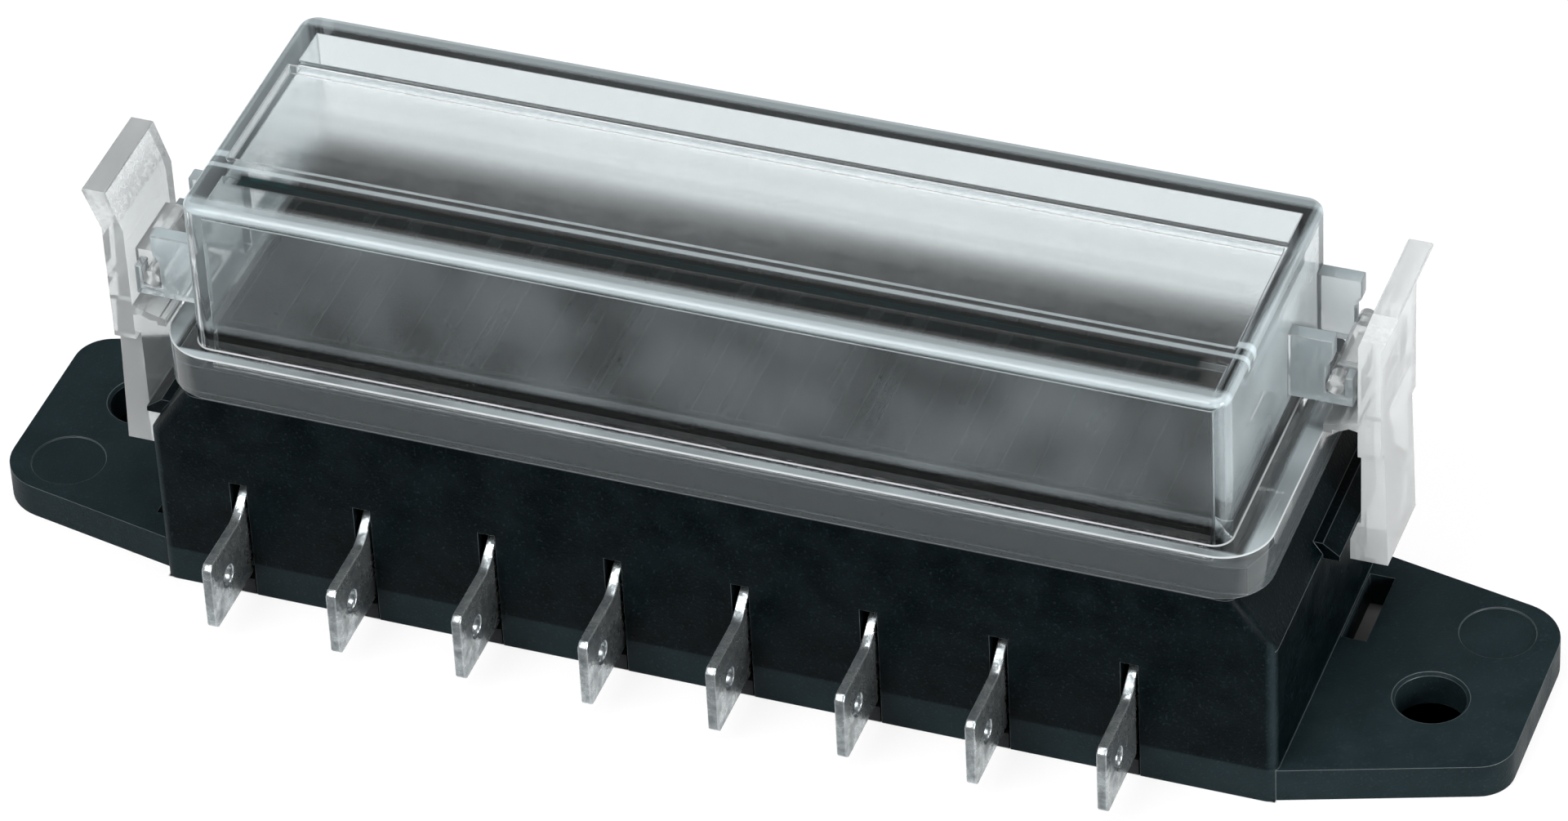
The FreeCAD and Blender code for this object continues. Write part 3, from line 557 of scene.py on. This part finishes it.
def dress_all():
    """Gives every node its finish, with radii on all but the flat bottom plate."""
    housing = black_plastic("black_housing", HOUSING_BLACK, 0.42, 0.24 * MM)
    housing_edge = black_plastic("black_edges", HIGHLIGHT_EDGE_BLACK, 0.36, 0.3 * MM, shine=0.4)
    plate = black_plastic("black_plate", PLATE_BLACK, 0.5, 0.2 * MM)
    cover = clear_plastic("clear_cover", COVER_CLEAR, cover_frost_and_highlights, cover_painted_reflections_and_shade)
    latch = clear_plastic("clear_latch", LATCH_CLEAR, latch_frost)
    clear_edge = clear_plastic("clear_edges", EDGE_CLEAR, edge_highlight_milk)
    tin = tin_plate("tinned_blade", BLADE_TIN)
    tin_edge = tin_plate("tinned_edges", HIGHLIGHT_EDGE_TIN)
    for name in nodes:
        body = body_of_node(name)
        if name == "housing":
            softened(name, body, BLACK_EDGE, housing, housing_edge)
        elif name == "bottom_plate":
            dress(name, plate)
        elif "terminal" in name:
            softened(name, body, BLADE_EDGE, tin, tin_edge)
        elif name == "cover":
            softened(name, body, CLEAR_EDGE, cover, clear_edge)
        else:
            softened(name, body, CLEAR_EDGE, latch, clear_edge)


def make_camera():
    azimuth, elevation, roll = (math.radians(a) for a in (AZIMUTH, ELEVATION, ROLL))
    ahead = Vector((-math.sin(azimuth) * math.cos(elevation),
                    math.cos(azimuth) * math.cos(elevation), -math.sin(elevation)))
    right = Vector((math.cos(azimuth), math.sin(azimuth), 0.0))
    up = right.cross(ahead)
    turned_right = right * math.cos(roll) + up * math.sin(roll)
    turned_up = up * math.cos(roll) - right * math.sin(roll)
    data = bpy.data.cameras.new("camera")
    data.sensor_width = SENSOR
    data.lens = LENS
    data.clip_start = 0.01
    data.clip_end = 20.0
    camera = bpy.data.objects.new("camera", data)
    turn = Matrix((turned_right, turned_up, -ahead)).transposed()
    camera.matrix_world = Matrix.Translation(LOOK_AT - ahead * DISTANCE) @ turn.to_4x4()
    bpy.context.collection.objects.link(camera)
    bpy.context.scene.camera = camera


def kinds_of_ray(tree):
    """1 for rays seen straight or through the clear plastic, and 1 for mirrored ones."""
    path = tree.nodes.new("ShaderNodeLightPath")
    straight = combine(tree, "MAXIMUM", path.outputs["Is Camera Ray"], path.outputs["Is Transmission Ray"])
    mirrored = product(tree, path.outputs["Is Glossy Ray"], inverse(tree, straight))
    return straight, mirrored


def inside_box(tree, x, y, half, edge=FOOTPRINT_EDGE):
    """1 where the place lies within the given half length and half depth of the middle."""
    within = [falls(tree, size_of(tree, value), (reach, edge)) for value, reach in zip((x, y), half)]
    return product(tree, *within)


def footprint(tree, x, y):
    """1 on the floor that the box and its ears stand over, and how dark it is there."""
    under_ears = product(tree, inside_box(tree, x, y, BELOW_EARS), rises(tree, size_of(tree, x), EARS_FROM))
    below = combine(tree, "MAXIMUM", inside_box(tree, x, y, BELOW_BLOCK), under_ears)
    under = combine(tree, "MAXIMUM", inside_box(tree, x, y, BESIDE_BLOCK), below)
    return under, total(tree, product(tree, under, BESIDE_SHADE), product(tree, below, BELOW_SHADE))


def floor_material():
    """Matt floor that shows white to the eye, with a dark footprint and a dark card."""
    material, tree, shader, out = new_material("floor")
    tree.nodes.remove(shader)
    matt = tree.nodes.new("ShaderNodeBsdfDiffuse")
    glow = tree.nodes.new("ShaderNodeEmission")
    mix = tree.nodes.new("ShaderNodeMixShader")
    x, y, _ = axes_of(tree, object_place(tree))
    under, shade = footprint(tree, x, y)
    tree.links.new(blend_colour(tree, shade, FLOOR_COLOUR, BLACK), matt.inputs["Color"])
    card = inside_box(tree, x, total(tree, y, CARD_AHEAD), CARD_HALF, CARD_EDGE)
    straight, mirrored = kinds_of_ray(tree)
    through = tree.nodes.new("ShaderNodeLightPath").outputs["Is Transmission Ray"]
    card_share = product(tree, card, total(tree, mirrored, product(tree, through, CARD_THROUGH)))
    glow.inputs["Color"].default_value = WHITE
    tree.links.new(spread(tree, card_share, (0.0, 1.0), (1.0, CARD_STRENGTH)), glow.inputs["Strength"])
    seen = total(tree, product(tree, straight, FLOOR_GLOW), mirrored)
    tree.links.new(product(tree, seen, inverse(tree, under)), mix.inputs["Fac"])
    tree.links.new(matt.outputs["BSDF"], mix.inputs[1])
    tree.links.new(glow.outputs["Emission"], mix.inputs[2])
    tree.links.new(mix.outputs["Shader"], out.inputs["Surface"])
    material.cycles.emission_sampling = "NONE"
    return material


def make_floor():
    mesh = bmesh.new()
    bmesh.ops.create_grid(mesh, x_segments=1, y_segments=1, size=FLOOR_SIZE)
    data = bpy.data.meshes.new("floor")
    mesh.to_mesh(data)
    mesh.free()
    floor = bpy.data.objects.new("floor", data)
    floor.location = (0.0, 0.0, -FLOOR_DROP)
    bpy.context.collection.objects.link(floor)
    data.materials.append(floor_material())


def make_world():
    world = bpy.data.worlds.new("studio")
    bpy.context.scene.world = world
    world.use_nodes = True
    tree = world.node_tree
    tree.nodes.clear()
    out = tree.nodes.new("ShaderNodeOutputWorld")
    sky = tree.nodes.new("ShaderNodeBackground")
    sky.inputs["Color"].default_value = WHITE
    straight, mirrored = kinds_of_ray(tree)
    seen = combine(tree, "SUBTRACT",
                   product(tree, straight, SKY_SEEN), product(tree, mirrored, SKY_MIRRORED))
    tree.links.new(total(tree, seen, SKY_LIGHT), sky.inputs["Strength"])
    tree.links.new(sky.outputs["Background"], out.inputs["Surface"])


def make_lamps():
    for name, (place, side, power) in LAMPS.items():
        data = bpy.data.lights.new(name, "AREA")
        data.shape = "RECTANGLE"
        data.size = side
        data.size_y = side
        data.energy = power
        lamp = bpy.data.objects.new(name, data)
        lamp.location = place
        lamp.rotation_euler = (LAMP_AIM - Vector(place)).to_track_quat("-Z", "Y").to_euler()
        bpy.context.collection.objects.link(lamp)


def limit_bounces():
    """Bounces for both walls of the cover and a lever in a row, and light effort to match."""
    cycles = bpy.context.scene.cycles
    cycles.max_bounces = 9
    cycles.diffuse_bounces = 1
    cycles.glossy_bounces = 2
    cycles.transmission_bounces = 9
    cycles.use_light_tree = False
    cycles.light_sampling_threshold = 0.05
    cycles.adaptive_threshold = 0.06
    cycles.adaptive_min_samples = 12
    cycles.caustics_reflective = False
    cycles.caustics_refractive = False


dress_all()
make_camera()
make_floor()
make_world()
make_lamps()
limit_bounces()
bpy.context.scene.view_settings.view_transform = "Standard"
